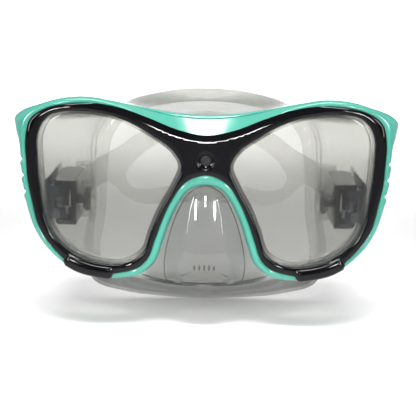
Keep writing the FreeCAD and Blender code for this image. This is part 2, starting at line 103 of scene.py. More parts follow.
# ---------------------------------------------------------------- curves and meshes
def spline(points, per_span, closed=True):
    """Smooth curve through points of any width, knots spaced by chord length."""
    count = len(points)
    rows = [list(map(float, p)) for p in points]

    def at(i):
        return rows[i % count] if closed else rows[min(max(i, 0), count - 1)]

    def gap(i):
        a, b = at(i), at(i + 1)
        return max(math.dist(a[:2], b[:2]) ** 0.7, 1e-6)

    def slope(i):
        if not closed and i in (0, count - 1):
            j = 0 if i == 0 else count - 2
            return [(b - a) / gap(j) for a, b in zip(at(j), at(j + 1))]
        before, after = gap(i - 1), gap(i)
        return [((b - a) / before * after + (c - b) / after * before) / (before + after)
                for a, b, c in zip(at(i - 1), at(i), at(i + 1))]

    result = []
    for i in range(count if closed else count - 1):
        a, b, step = at(i), at(i + 1), gap(i)
        m, n = slope(i), slope((i + 1) % count if closed else i + 1)
        for k in range(per_span):
            t = k / per_span
            h = (2 * t ** 3 - 3 * t ** 2 + 1, t ** 3 - 2 * t ** 2 + t,
                 3 * t ** 2 - 2 * t ** 3, t ** 3 - t ** 2)
            result.append(tuple(h[0] * p + h[1] * step * u + h[2] * q + h[3] * step * v
                                for p, q, u, v in zip(a, b, m, n)))
    if not closed:
        result.append(tuple(at(count - 1)))
    return result


def evenly(points, count, closed=True):
    """The same curve with points at even distances, measured on the first two values."""
    ring = points + points[:1] if closed else points
    travel = [0.0]
    for a, b in zip(ring, ring[1:]):
        travel.append(travel[-1] + math.dist(a[:2], b[:2]))
    steps = count if closed else count - 1
    result = []
    j = 0
    for i in range(count):
        want = travel[-1] * i / steps
        while j < len(ring) - 2 and travel[j + 1] < want:
            j += 1
        span = travel[j + 1] - travel[j] or 1.0
        t = (want - travel[j]) / span
        result.append(tuple(p + (q - p) * t for p, q in zip(ring[j], ring[j + 1])))
    return result


def mirror_rows(half):
    """A closed row list from a right half that starts and ends on the middle."""
    return half + [(-row[0], row[1], -row[2]) + tuple(row[3:]) for row in reversed(half[1:-1])]


def grown(loop, distance):
    """Move each point of a closed loop outward along its normal."""
    area = sum(a[0] * b[1] - b[0] * a[1] for a, b in zip(loop, loop[1:] + loop[:1]))
    side = 1 if area > 0 else -1
    result = []
    for i, point in enumerate(loop):
        before, after = loop[i - 1], loop[(i + 1) % len(loop)]
        run, rise = after[0] - before[0], after[1] - before[1]
        length = math.hypot(run, rise) or 1.0
        move = distance[i] if isinstance(distance, list) else distance
        result.append((point[0] + side * move * rise / length,
                       point[1] - side * move * run / length))
    return result


def inside(x, z, loop):
    hit = False
    for (ax, az), (bx, bz) in zip(loop, loop[1:] + loop[:1]):
        if (az > z) != (bz > z) and x < ax + (z - az) * (bx - ax) / (bz - az):
            hit = not hit
    return hit


class Mesh:
    """Vertices in millimetres and faces, gathered piece by piece."""

    def __init__(self):
        self.verts = []
        self.faces = []

    def ring(self, points):
        start = len(self.verts)
        self.verts.extend(points)
        return list(range(start, start + len(points)))

    def strip(self, a, b, closed=True):
        count = len(a)
        for i in range(count if closed else count - 1):
            j = (i + 1) % count
            self.faces.append((a[i], a[j], b[j], b[i]))

    def cap(self, loop):
        self.faces.append(tuple(loop))

    def build(self, name, material, body="mask", sharp=50, scale=MM):
        mesh = bpy.data.meshes.new(name)
        mesh.from_pydata([tuple(v * scale for v in p) for p in self.verts], [], self.faces)
        mesh.validate()
        obj = bpy.data.objects.new(name, mesh)
        bpy.context.scene.collection.objects.link(obj)
        bpy.context.view_layer.objects.active = obj
        bpy.ops.object.select_all(action="DESELECT")
        obj.select_set(True)
        bpy.ops.object.mode_set(mode="EDIT")
        bpy.ops.mesh.select_all(action="SELECT")
        bpy.ops.mesh.remove_doubles(threshold=1e-6)
        bpy.ops.mesh.normals_make_consistent(inside=False)
        bpy.ops.object.mode_set(mode="OBJECT")
        mesh.shade_smooth()
        mesh.set_sharp_from_angle(angle=math.radians(sharp))
        mesh.materials.append(material)
        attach(obj, body)
        return obj


def region(loops, holes, grid, keep=0.9):
    """Triangulate between nested loops.  loops[0] is the outer edge, holes the hole edges;
    the other rows run alongside them.  Returns points, triangles and the first index of
    each loop."""
    points, edges, starts = [], [], []
    for loop in loops:
        start = len(points)
        starts.append(start)
        points.extend(Vector(p) for p in loop)
        count = len(loop)
        edges.extend((start + i, start + (i + 1) % count) for i in range(count))
    total = len(points)
    xs = [p.x for p in points]
    zs = [p.y for p in points]
    cells = {}
    for p in points:
        cells.setdefault((int(p.x // keep), int(p.y // keep)), []).append(p)
    rows = int((max(zs) - min(zs)) / grid)
    columns = int((max(xs) - min(xs)) / grid)
    for i in range(columns + 1):
        for j in range(rows + 1):
            p = Vector((min(xs) + grid * (i + 0.5 * (j % 2)), min(zs) + grid * j))
            if not inside(p.x, p.y, loops[0]) or any(inside(p.x, p.y, h) for h in holes):
                continue
            cx, cz = int(p.x // keep), int(p.y // keep)
            near = (q for a in (-1, 0, 1) for b in (-1, 0, 1)
                    for q in cells.get((cx + a, cz + b), ()))
            if all((p - q).length > keep for q in near):
                points.append(p)
    made = delaunay_2d_cdt(points, edges, [], 0, 1e-7)
    verts, faces = made[0], made[2]
    if len(verts) != len(points):
        raise ValueError("the loops cross each other")
    good = []
    for face in faces:
        x = sum(verts[i].x for i in face) / 3
        z = sum(verts[i].y for i in face) / 3
        if inside(x, z, loops[0]) and not any(inside(x, z, h) for h in holes):
            good.append(face)
    return verts, good, starts, total


# ---------------------------------------------------------------- materials
def material(name):
    mat = bpy.data.materials.new(name)
    mat.use_nodes = True
    tree = mat.node_tree
    return mat, tree.nodes, tree.links, tree.nodes["Principled BSDF"]


def grain(tree_nodes, links, scale, detail=3.0):
    """Noise in the object's own space, the same size at any place."""
    place = tree_nodes.new("ShaderNodeTexCoord")
    noise = tree_nodes.new("ShaderNodeTexNoise")
    noise.inputs["Scale"].default_value = scale
    noise.inputs["Detail"].default_value = detail
    links.new(place.outputs["Object"], noise.inputs["Vector"])
    return noise


def vary(tree_nodes, links, source, low, high, target):
    """Map a noise to a range of values on one socket."""
    spread = tree_nodes.new("ShaderNodeMapRange")
    spread.inputs["From Min"].default_value = 0.3
    spread.inputs["From Max"].default_value = 0.7
    spread.inputs["To Min"].default_value = low
    spread.inputs["To Max"].default_value = high
    links.new(source.outputs["Fac"], spread.inputs["Value"])
    links.new(spread.outputs["Result"], target)


def tinted(tree_nodes, links, source, low, high, target):
    """Map a noise to a range of colours on one socket."""
    ramp = tree_nodes.new("ShaderNodeValToRGB")
    ramp.color_ramp.elements[0].position = 0.3
    ramp.color_ramp.elements[1].position = 0.7
    ramp.color_ramp.elements[0].color = (*low, 1)
    ramp.color_ramp.elements[1].color = (*high, 1)
    links.new(source.outputs["Fac"], ramp.inputs["Fac"])
    links.new(ramp.outputs["Color"], target)


def bump(tree_nodes, links, source, depth, shader):
    node = tree_nodes.new("ShaderNodeBump")
    node.inputs["Strength"].default_value = 1.0
    node.inputs["Distance"].default_value = depth
    links.new(source.outputs["Fac"], node.inputs["Height"])
    links.new(node.outputs["Normal"], shader.inputs["Normal"])


def plastic(name, low, high, rough, coat=0.0, depth=0.00001, scale=900, shine=0.5):
    mat, ns, links, shader = material(name)
    cloud = grain(ns, links, 60)
    fine = grain(ns, links, scale)
    tinted(ns, links, cloud, low, high, shader.inputs["Base Color"])
    vary(ns, links, fine, rough * 0.8, rough * 1.3, shader.inputs["Roughness"])
    bump(ns, links, fine, depth, shader)
    shader.inputs["Coat Weight"].default_value = coat
    shader.inputs["Coat Roughness"].default_value = 0.04
    shader.inputs["Specular IOR Level"].default_value = shine
    return mat


def metal(name, low, high, rough):
    mat, ns, links, shader = material(name)
    fine = grain(ns, links, 1500)
    tinted(ns, links, fine, low, high, shader.inputs["Base Color"])
    vary(ns, links, fine, rough * 0.7, rough * 1.4, shader.inputs["Roughness"])
    bump(ns, links, fine, 0.00001, shader)
    shader.inputs["Metallic"].default_value = 1.0
    return mat


def clear(name, through, body_low, body_high, film, rim, rough, ior=1.42, depth=0.00002,
          scale=250, dense=None):
    """Clear plastic, silicone or glass: light passes tinted, a little milk shows at
    glancing angles, and the surface is glossy.  dense is a darker see-through tint, painted shade,
    on the nose pocket, the lower lip and the brow."""
    mat, ns, links, shader = material(name)
    out = ns["Material Output"]
    cloud = grain(ns, links, 45)
    fine = grain(ns, links, scale, 2.0)
    tinted(ns, links, cloud, body_low, body_high, shader.inputs["Base Color"])
    vary(ns, links, cloud, rough, rough * 1.4, shader.inputs["Roughness"])
    bump(ns, links, fine, depth, shader)
    shader.inputs["IOR"].default_value = ior
    see = ns.new("ShaderNodeBsdfTransparent")
    see.inputs["Color"].default_value = (*through, 1)
    # Painted shade: a darker see-through tint blended in on fixed parts of the skirt.
    if dense:
        blend = ns.new("ShaderNodeMix")
        blend.data_type = "RGBA"
        blend.inputs["A"].default_value = (*through, 1)
        blend.inputs["B"].default_value = (*dense, 1)
        links.new(painted_shade_parts(ns, links), blend.inputs["Factor"])
        links.new(blend.outputs["Result"], see.inputs["Color"])
    edge = ns.new("ShaderNodeLayerWeight")
    edge.inputs["Blend"].default_value = 0.5
    sharp = ns.new("ShaderNodeMath")
    sharp.operation = "POWER"
    sharp.inputs[1].default_value = 4.5
    links.new(edge.outputs["Facing"], sharp.inputs[0])
    spread = ns.new("ShaderNodeMapRange")
    spread.inputs["To Min"].default_value = film
    spread.inputs["To Max"].default_value = rim
    links.new(sharp.outputs["Value"], spread.inputs["Value"])
    mix = ns.new("ShaderNodeMixShader")
    links.new(spread.outputs["Result"], mix.inputs["Fac"])
    links.new(see.outputs["BSDF"], mix.inputs[1])
    links.new(shader.outputs["BSDF"], mix.inputs[2])
    gloss = ns.new("ShaderNodeBsdfGlossy")
    gloss.inputs["Roughness"].default_value = rough * 0.5
    fifth = ns.new("ShaderNodeMath")
    fifth.operation = "POWER"
    fifth.inputs[1].default_value = 5.0
    links.new(edge.outputs["Facing"], fifth.inputs[0])
    shine = ns.new("ShaderNodeMapRange")
    shine.inputs["To Min"].default_value = ((ior - 1) / (ior + 1)) ** 2
    shine.inputs["To Max"].default_value = 0.6
    links.new(fifth.outputs["Value"], shine.inputs["Value"])
    top = ns.new("ShaderNodeMixShader")
    links.new(shine.outputs["Result"], top.inputs["Fac"])
    links.new(mix.outputs["Shader"], top.inputs[1])
    links.new(gloss.outputs["BSDF"], top.inputs[2])
    links.new(top.outputs["Shader"], out.inputs["Surface"])
    return mat


def ramp_down(ns, links, source, low, high):
    """1 below low, 0 above high, smooth between."""
    node = ns.new("ShaderNodeMapRange")
    node.interpolation_type = "SMOOTHSTEP"
    node.inputs["From Min"].default_value = low
    node.inputs["From Max"].default_value = high
    node.inputs["To Min"].default_value = 1.0
    node.inputs["To Max"].default_value = 0.0
    links.new(source, node.inputs["Value"])
    return node.outputs["Result"]


def joined(ns, links, a, b, operation):
    node = ns.new("ShaderNodeMath")
    node.operation = operation
    links.new(a, node.inputs[0])
    links.new(b, node.inputs[1])
    return node.outputs["Value"]


def painted_shade_parts(ns, links):
    """Where the skirt gets painted shade, a darker see-through tint: the nose pocket with its
    surround, the lower lip, the brow.
    """
    place = ns.new("ShaderNodeTexCoord")
    parts = ns.new("ShaderNodeSeparateXYZ")
    links.new(place.outputs["Object"], parts.inputs["Vector"])
    across = ns.new("ShaderNodeMath")
    across.operation = "ABSOLUTE"
    links.new(parts.outputs["X"], across.inputs[0])
    nose = joined(ns, links, ramp_down(ns, links, across.outputs["Value"], 0.026, 0.032),
                  ramp_down(ns, links, parts.outputs["Y"], -0.0425, -0.040), "MULTIPLY")
    low = joined(ns, links, nose, ramp_down(ns, links, parts.outputs["Z"], -0.036, -0.026),
                 "MAXIMUM")
    brow = ns.new("ShaderNodeMapRange")
    brow.interpolation_type = "SMOOTHSTEP"
    brow.inputs["From Min"].default_value = 0.0415
    brow.inputs["From Max"].default_value = 0.0445
    links.new(parts.outputs["Z"], brow.inputs["Value"])
    lip = ns.new("ShaderNodeMapRange")
    lip.interpolation_type = "SMOOTHSTEP"
    lip.inputs["From Min"].default_value = -0.009
    lip.inputs["From Max"].default_value = -0.004
    lip.inputs["To Min"].default_value = 1.0
    lip.inputs["To Max"].default_value = 0.5
    links.new(parts.outputs["Y"], lip.inputs["Value"])
    upper = joined(ns, links, brow.outputs["Result"], lip.outputs["Result"], "MULTIPLY")
    return joined(ns, links, low, upper, "MAXIMUM")


TURQUOISE = plastic("turquoise_plastic", (0.043, 0.265, 0.20), (0.051, 0.295, 0.224), 0.18, 0.4,
                    0.0000015)
BLACK = plastic("black_plastic", (0.002, 0.002, 0.0025), (0.004, 0.004, 0.005), 0.06, 0.03,
                0.0000006, 900, 0.25)
STUD = metal("stud_metal", (0.025, 0.025, 0.028), (0.04, 0.04, 0.043), 0.4)
STEEL = metal("pin_steel", (0.50, 0.50, 0.52), (0.64, 0.64, 0.65), 0.22)
# The lens's strong grey see-through tint is painted shade: it darkens everything seen through the
# lens.
GLASS = clear("lens_glass", (0.625, 0.625, 0.61), (0.5, 0.5, 0.49), (0.55, 0.55, 0.54),
              0.02, 0.08, 0.02, 1.5, 0.0000003, 30)
# The last colour, dense, is painted shade: a darker see-through tint on the nose pocket, the lower
# lip and the brow.
SILICONE = clear("clear_silicone", (0.94, 0.94, 0.93), (0.45, 0.45, 0.44), (0.55, 0.55, 0.54),
                 0.03, 0.45, 0.06, 1.44, 0.000006, 250, (0.56, 0.565, 0.55))
STRAP_SILICONE = clear("strap_silicone", (0.97, 0.97, 0.96), (0.80, 0.79, 0.78),
                       (0.88, 0.87, 0.86), 0.08, 0.90, 0.08, 1.46, 0.000004)
SMOKE = plastic("smoke_plastic", (0.008, 0.008, 0.010), (0.016, 0.016, 0.02), 0.12, 0.5, 0.000002)
BLUE_GREY = plastic("blue_grey_plastic", (0.085, 0.11, 0.165), (0.12, 0.15, 0.21), 0.12, 0.8,
                    0.000002)
ICE = plastic("frosted_plastic", (0.66, 0.66, 0.65), (0.74, 0.74, 0.73), 0.2, 0.5, 0.000002)


def dress(node, mat):
    mesh = nodes[node].data
    mesh.materials.clear()
    mesh.materials.append(mat)


for side in ("left", "right"):
    dress(side + "_lens", GLASS)
    dress(side + "_swivel_post", ICE)
    dress(side + "_swivel_cap", ICE)
    dress(side + "_buckle_body", SMOKE)
    dress(side + "_roller", ICE)
    dress(side + "_roller_pin", STEEL)
    dress(side + "_lever_pin", STEEL)
    dress(side + "_lever_spring", STEEL)
    dress(side + "_release_lever", BLUE_GREY)
    dress(side + "_keeper", STRAP_SILICONE)
dress("bridge_stud", STUD)

# ---------------------------------------------------------------- shared outlines
rim_rows = evenly(spline(mirror_rows(RIM), 24), 960)
bezel_edge = [(row[0], row[1] + MIDDLE) for row in rim_rows]
lens_edge = evenly(spline([(x, z + MIDDLE) for x, z in LENS], 24), 260)
lens_edges = [lens_edge, [(-x, z) for x, z in lens_edge]]


# ---------------------------------------------------------------- frame
NOTCHES = (12.2, 4.9, -2.5)  # heights of the grip notches above the frame middle
NOTCH_WIDTH = 0.75
SWELL_WIDTH = 1.3
SWELL_BELOW = 2.2
SWELL = 0.35


def ribs(z):
    """Grip notches in the outer sides, each with a slight swell below it: how far the side
    steps in at a height."""
    total = 0.0
    for middle in NOTCHES:
        off = (z - MIDDLE - middle) / NOTCH_WIDTH
        total += math.exp(-off * off)
        off = (z - MIDDLE - middle + SWELL_BELOW) / SWELL_WIDTH
        total -= math.exp(-off * off) * SWELL
    return total


EDGE_ROUND = 1.3
SHELF_END = 0.78  # share of the width where the brow shelf meets its ridge
PLATE_FRONT = -48.9  # the frame's plate behind the bezel, and clear of the skirt's face
PLATE_BACK = -45.02


def make_frame():
    mesh = Mesh()
    sections = []
    for row in rim_rows:
        bx, bz, fx, fz, front, back, shelf = row
        bz += MIDDLE
        fz += MIDDLE
        width = math.hypot(fx - bx, fz - bz) or 1.0
        ux, uz = (fx - bx) / width, (fz - bz) / width
        notch = ribs(fz) if abs(fx) > 70 else 0.0
        width -= notch
        start = FRAME_FRONT
        section = []
        round_off = min(EDGE_ROUND, width * 0.45)
        samples = (0.0, 0.12, 0.25, 0.4, 0.55, 0.68, 0.78, 0.86, 0.93, 0.98, 1.0)
        for t in samples:
            plain = start + (front - start) * t ** 2
            bulge = -0.5 * math.sin(math.pi * min(t * 1.05, 1.0)) * min(width / 3, 1)
            scoop = start + 0.3 + (front - start + 0.6) * min(t / SHELF_END, 1.0)
            if t > SHELF_END:
                scoop += -0.35 * math.sin(math.pi * min((t - SHELF_END) / 0.2, 1.0))
            y = (plain + bulge) * (1 - shelf) + scoop * shelf
            near = (1 - t) * width
            if near < round_off:
                lift = 1 - near / round_off
                y += round_off * (1 - math.sqrt(max(1 - lift * lift, 0.0)))
            section.append((bx + ux * width * t, y, bz + uz * width * t))
        top = section[-1][1]
        for t in (0.25, 0.5, 0.75, 0.93):
            section.append((bx + ux * width, top + (back - top) * t, bz + uz * width))
        for inset, y in ((0.25, back - 0.08), (0.7, back)):
            section.append((bx + ux * (width - inset), y, bz + uz * (width - inset)))
        section.append((bx, back, bz))
        section.append((bx, (back + FRAME_FRONT) / 2, bz))
        sections.append(section)
    rings = [mesh.ring([s[k] for s in sections]) for k in range(len(sections[0]))]
    for a, b in zip(rings, rings[1:] + rings[:1]):
        mesh.strip(a, b)
    edge = evenly([(r[2], r[3] + MIDDLE) for r in rim_rows], 560)
    holes = [grown(h, 1.6) for h in lens_edges]
    verts, faces, starts, total = region([grown(edge, -1.0)] + holes, holes, 3.0)
    front = mesh.ring([(v.x, PLATE_FRONT, v.y) for v in verts])
    rear = mesh.ring([(v.x, PLATE_BACK, v.y) for v in verts])
    for face in faces:
        mesh.faces.append(tuple(front[i] for i in face))
        mesh.faces.append(tuple(rear[i] for i in reversed(face)))
    sizes = [len(edge), len(holes[0]), len(holes[1])]
    for start, size in zip(starts, sizes):
        mesh.strip(front[start:start + size], rear[start:start + size])
    return mesh.build("frame_shell", TURQUOISE)


frame_shell = make_frame()
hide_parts("frame")


# ---------------------------------------------------------------- bezel
def rounded(gap, reach, drop):
    """How far a rounded edge falls back, gap away from its boundary."""
    side = 1 - min(gap / reach, 1.0)
    return drop * (1 - math.sqrt(1 - side * side))


def finder(points):
    """Nearest-point search over a dense outline."""
    tree = KDTree(len(points))
    for i, p in enumerate(points):
        tree.insert((p[0], p[1], 0.0), i)
    tree.balance()
    return tree


OUTLINE_POINTS = 640
SEARCH_FINER = 3  # points of the search outline for each point of the outline
NARROW = 1.15  # width of the outer rounding, and what the brow bevel adds to it
BROAD = 1.65
BEVEL_DROP = 1.1
EDGE_REACH = 2.3
EDGE_DROP = 1.2
WINDOW_DROP = 0.9


def make_bezel():
    mesh = Mesh()
    outer = evenly(bezel_edge, OUTLINE_POINTS)
    bevel = []
    for x, z in outer:
        high = min(max((z - MIDDLE - 12) / 10, 0), 1) * min(max((62 - abs(x)) / 14, 0), 1)
        bevel.append(high)
    width = [NARROW + BROAD * b for b in bevel]
    loops = [grown(outer, [-w * s for w in width]) for s in (0.0, 0.1, 0.28, 0.55, 1.0)]
    for edge in lens_edges:
        loops.extend(grown(edge, s) for s in (0.0, 0.1, 0.3, 0.6, 1.0))
    stud_z = MIDDLE + STUD_UP
    stud = ((4.3, 0.0), (3.9, 0.1), (3.6, 0.4), (3.45, 0.8), (3.1, 0.98), (2.4, 1.0), (1.55, 1.0))
    for radius, depth in stud:
        loops.append([(radius * math.cos(math.tau * i / 64),
                       stud_z + radius * math.sin(math.tau * i / 64)) for i in range(64)])
    bore = loops[-1]
    verts, faces, starts, total = region(loops, lens_edges + [bore], 1.1, 0.6)
    around = finder(evenly(bezel_edge, OUTLINE_POINTS * SEARCH_FINER))
    windows = finder(lens_edges[0] + lens_edges[1])
    heights = []
    for v in verts:
        _, i, gap = around.find((v.x, v.y, 0.0))
        lean = bevel[(i // SEARCH_FINER) % OUTLINE_POINTS]
        side = 1 - min(gap / (NARROW + BROAD * lean), 1.0)
        fall = rounded(gap, EDGE_REACH, EDGE_DROP) * (1 - lean) + BEVEL_DROP * side * lean
        window = windows.find((v.x, v.y, 0.0))[2]
        heights.append(max(fall, rounded(window, EDGE_REACH, WINDOW_DROP)))
    for start, (radius, depth) in zip(starts[15:], stud):
        for i in range(start, start + 64):
            heights[i] = depth
    front = mesh.ring([(v.x, BEZEL_FRONT + h, v.y) for v, h in zip(verts, heights)])
    for face in faces:
        mesh.faces.append(tuple(front[i] for i in face))

    def loop_at(index, y, move=0.0):
        line = loops[index] if not move else grown(loops[index], move)
        return mesh.ring([(x, y, z) for x, z in line])

    holes = [5, 10]
    outer_back = loop_at(0, BEZEL_BACK)
    mesh.strip(front[:len(outer)], outer_back)
    back_loops = [loops[0]]
    for index in holes:
        start = starts[index]
        rim = front[start:start + len(loops[index])]
        lip = loop_at(index, LENS_FRONT)
        ledge = loop_at(index, LENS_FRONT, LENS_SEAT)
        back = loop_at(index, BEZEL_BACK, LENS_SEAT)
        mesh.strip(rim, lip)
        mesh.strip(lip, ledge)
        mesh.strip(ledge, back)
        back_loops.append(grown(loops[index], LENS_SEAT))
    last = len(loops) - 1
    start = starts[last]
    stem = loop_at(last, BEZEL_BACK)
    mesh.strip(front[start:start + 64], stem)
    back_loops.append(bore)
    verts, faces, starts, total = region(back_loops, back_loops[1:], 3.0)
    rear = mesh.ring([(v.x, BEZEL_BACK, v.y) for v in verts])
    for face in faces:
        mesh.faces.append(tuple(rear[i] for i in reversed(face)))
    for sense in (1, -1):
        add_tab(mesh, sense)
    return mesh.build("bezel_shell", BLACK, sharp=40)


def add_tab(mesh, sense):
    """Raised lower tab: a pad that follows the rim and laps over the frame."""
    low, high = 40.6, 63.6
    run = [row for row in rim_rows if low < row[0] < high and row[1] < -20]
    run = evenly(run, 60, closed=False)
    sections = []
    for i, row in enumerate(run):
        bx, bz, fx, fz = row[0], row[1] + MIDDLE, row[2], row[3] + MIDDLE
        ends = min(i, len(run) - 1 - i) / 5
        swell = math.sqrt(min(ends, 1.0)) if ends < 1 else 1.0
        nearest = min(lens_edge, key=lambda p: math.dist(p, (bx, bz)))
        ux, uz = bx - nearest[0], bz - nearest[1]
        length = math.hypot(ux, uz)
        ux, uz = ux / length, uz / length
        reach = max((fx - nearest[0]) * ux + (fz - nearest[1]) * uz, length)
        reach = length + (reach + 0.15 - length) * swell
        section = []
        for t, y in ((0.9, -56.4), (1.0, -56.9), (1.3, -57.25), (1.8, -57.6), (2.5, -57.85),
                     (3.3, -57.98), (4.2, -58.0), (reach - 1.8, -57.85), (reach - 1.0, -57.55),
                     (reach - 0.4, -57.1), (reach - 0.1, -56.6), (reach, -56.0), (reach, -55.6),
                     (0.9, -55.6)):
            section.append((sense * (nearest[0] + ux * t),
                            -56.6 + (y + 56.6) * (swell if y < -56.6 else 1.0),
                            nearest[1] + uz * t))
        sections.append(section)
    rings = [mesh.ring(s) for s in sections]
    for a, b in zip(rings, rings[1:]):
        mesh.strip(a, b)
    mesh.cap(rings[0])
    mesh.cap(rings[-1])


bezel_shell = make_bezel()
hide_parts("bezel")


# ---------------------------------------------------------------- skirt
def half_ring(half, count=240):
    """Closed ring of even points from a right half outline, starting at the top middle."""
    full = half + [(-x, z) for x, z in reversed(half[1:-1])]
    return evenly(spline([(x, z + MIDDLE) for x, z in full], 24), count)


# Skirt wall, front to back: y, half outline from the top middle to the bottom middle.
WALL = [
    (-44.6, [(0, 29), (28, 32), (57, 34.2), (72.8, 26), (76, 6), (72, -20), (57, -35),
             (38, -41), (20, -46), (0, -47.5)]),
    (-38, [(0, 29.5), (27, 32.6), (53, 33.5), (68, 25.5), (71.4, 6), (68, -20), (56.4, -36),
           (38.4, -44), (20, -49), (0, -50.4)]),
    (-30, [(0, 31), (26, 34), (48, 33.4), (60, 24), (62.4, 5), (60.6, -19), (55.4, -37.4),
           (39, -48), (20, -53), (0, -54)]),
    (-20, [(0, 33.6), (26, 36), (44, 34), (55, 23), (57, 4), (56.5, -18), (56, -37),
           (47, -49.4), (32, -55), (18, -57), (0, -58)]),
    (-10, [(0, 38), (25, 39.4), (43.6, 35.2), (54.6, 23.4), (57.2, 5), (57.6, -18),
           (58.6, -39.6), (52, -53), (36, -58.8), (20, -61), (0, -62)]),
    (-4, [(0, 42), (24.4, 41.8), (43.6, 36.2), (55, 23.8), (58.2, 6), (59, -18), (61, -41),
          (55.6, -55), (38, -61.2), (20, -63.4), (0, -64.4)]),
    (-0.4, [(0, 46.2), (24, 44), (44, 37), (55, 24), (58.8, 6), (60, -18), (63, -42),
            (58, -56.5), (40, -62.5), (20, -64.8), (0, -65.5)]),
]

# Outline of the web that joins the eye tubes and the nose pocket, right half.
WEB = [(0, 28.4), (14, 29.6), (30, 33.2), (44, 35.8), (58, 37.0), (70.5, 34.4), (76.2, 26),
       (77.0, 12), (75.8, -3), (73, -15.6), (68, -25.6), (58.4, -33.6), (47, -37.2), (36, -38.4),
       (28, -42.8), (20, -45.9), (0, -47.2)]


def make_skirt():
    mesh = Mesh()
    stations = []
    for y, half in WALL:
        stations.append([(x, z, y) for x, z in half_ring(half)])
    depth = []
    per = 6
    for i in range(len(stations) - 1):
        for k in range(per):
            depth.append((i, k / per))
    depth.append((len(stations) - 2, 1.0))

    def between(i, t):
        quad = [stations[min(max(i + d, 0), len(stations) - 1)] for d in (-1, 0, 1, 2)]
        w = (-0.5 * t + t * t - 0.5 * t ** 3, 1 - 2.5 * t * t + 1.5 * t ** 3,
             0.5 * t + 2 * t * t - 1.5 * t ** 3, -0.5 * t * t + 0.5 * t ** 3)
        return [tuple(sum(wi * q[n][c] for wi, q in zip(w, quad)) for c in range(3))
                for n in range(len(quad[0]))]

    skin = [between(i, t) for i, t in depth]
    outer = [mesh.ring([(x, y, z) for x, z, y in ring]) for ring in skin]
    edge = skin[-1]
    lips = []
    for inset, y in ((0.5, -0.05), (1.6, 0.0), (3.4, -0.25), (5.0, -0.7), (6.6, -1.4),
                     (8.2, -2.3), (8.9, -3.0), (9.0, -3.4), (8.7, -3.8), (8.1, -3.8),
                     (6.8, -3.2), (5.9, -2.5), (5.4, -1.9), (4.6, -1.75), (3.4, -2.2),
                     (2.6, -3.2)):
        loop = grown([(x, z) for x, z, _ in edge], -inset)
        lips.append(mesh.ring([(x, y, z) for x, z in loop]))
    inner = []
    for ring in reversed(skin[:-4]):
        loop = grown([(x, z) for x, z, _ in ring], -1.9)
        inner.append(mesh.ring([(x, ring[0][2], z) for x, z in loop]))
    chain = outer + lips + inner
    for a, b in zip(chain, chain[1:]):
        mesh.strip(a, b)
    mesh.strip(chain[-1], chain[0])

    # front web between the eye tubes and the nose pocket
    web_edge = half_ring(WEB)
    rims = [grown(edge, 0.9) for edge in lens_edges]
    nose = nose_ring(0)
    hole = grown(nose, -0.45)
    loops = [web_edge] + rims + [hole]
    verts, faces, starts, total = region(loops, loops[1:], 2.5)
    front = mesh.ring([(v.x, WEB_FRONT, v.y) for v in verts])
    rear = mesh.ring([(v.x, WEB_BACK, v.y) for v in verts])
    for face in faces:
        mesh.faces.append(tuple(front[i] for i in face))
        mesh.faces.append(tuple(rear[i] for i in reversed(face)))
    for start, loop in zip(starts, loops):
        mesh.strip(front[start:start + len(loop)], rear[start:start + len(loop)])

    # eye tubes with the bead behind each lens
    for edge in lens_edges:
        profile = ((1.4, -51.6), (0.4, -51.65), (-0.9, -51.6), (-1.5, -51.1), (-1.5, -50.3),
                   (-0.7, -49.4), (-0.4, -47), (-0.5, -44), (-0.3, -43.0), (1.2, -43.0),
                   (1.45, -45.0))
        rings = [mesh.ring([(x, y, z) for x, z in grown(edge, move)]) for move, y in profile]
        for a, b in zip(rings, rings[1:] + rings[:1]):
            mesh.strip(a, b)
    add_nose(mesh)
    for sense in (1, -1):
        add_lug(mesh, sense)
    return mesh.build("skirt_shell", SILICONE, sharp=60)


# Nose pocket, right half, where it leaves the web and at its tip.
NOSE_BACK = [(0, 0.2), (7.5, -3.2), (12.6, -11.5), (15.6, -19.5), (18, -29), (19, -38),
             (17.5, -45), (0, -46.4)]
NOSE_TIP = [(0, -1.8), (5.0, -3.2), (7.6, -8.6), (9.2, -17), (11.0, -27), (12.8, -36),
            (13.2, -42), (0, -45)]


def nose_ring(t, count=160):
    """Nose pocket outline, t from 0 at the web to 1 at the tip."""
    half = [(a[0] + (b[0] - a[0]) * t, a[1] + (b[1] - a[1]) * t)
            for a, b in zip(NOSE_BACK, NOSE_TIP)]
    return half_ring(half, count)


def crowned(ring, back, tip):
    """Bow the pocket across its width and let it run back towards the bridge."""
    result = []
    for x, y, z in ring:
        share = min(max((back - y) / (back - tip), 0.0), 1.0)
        rise = min(max((z - MIDDLE + 45) / 43, 0.0), 1.0)
        result.append((x, y + share * (3.0 * (x / 13) ** 2 + 5.4 * rise ** 1.6), z))
    return result


RIBS = 5
RIB_PITCH = 2.2


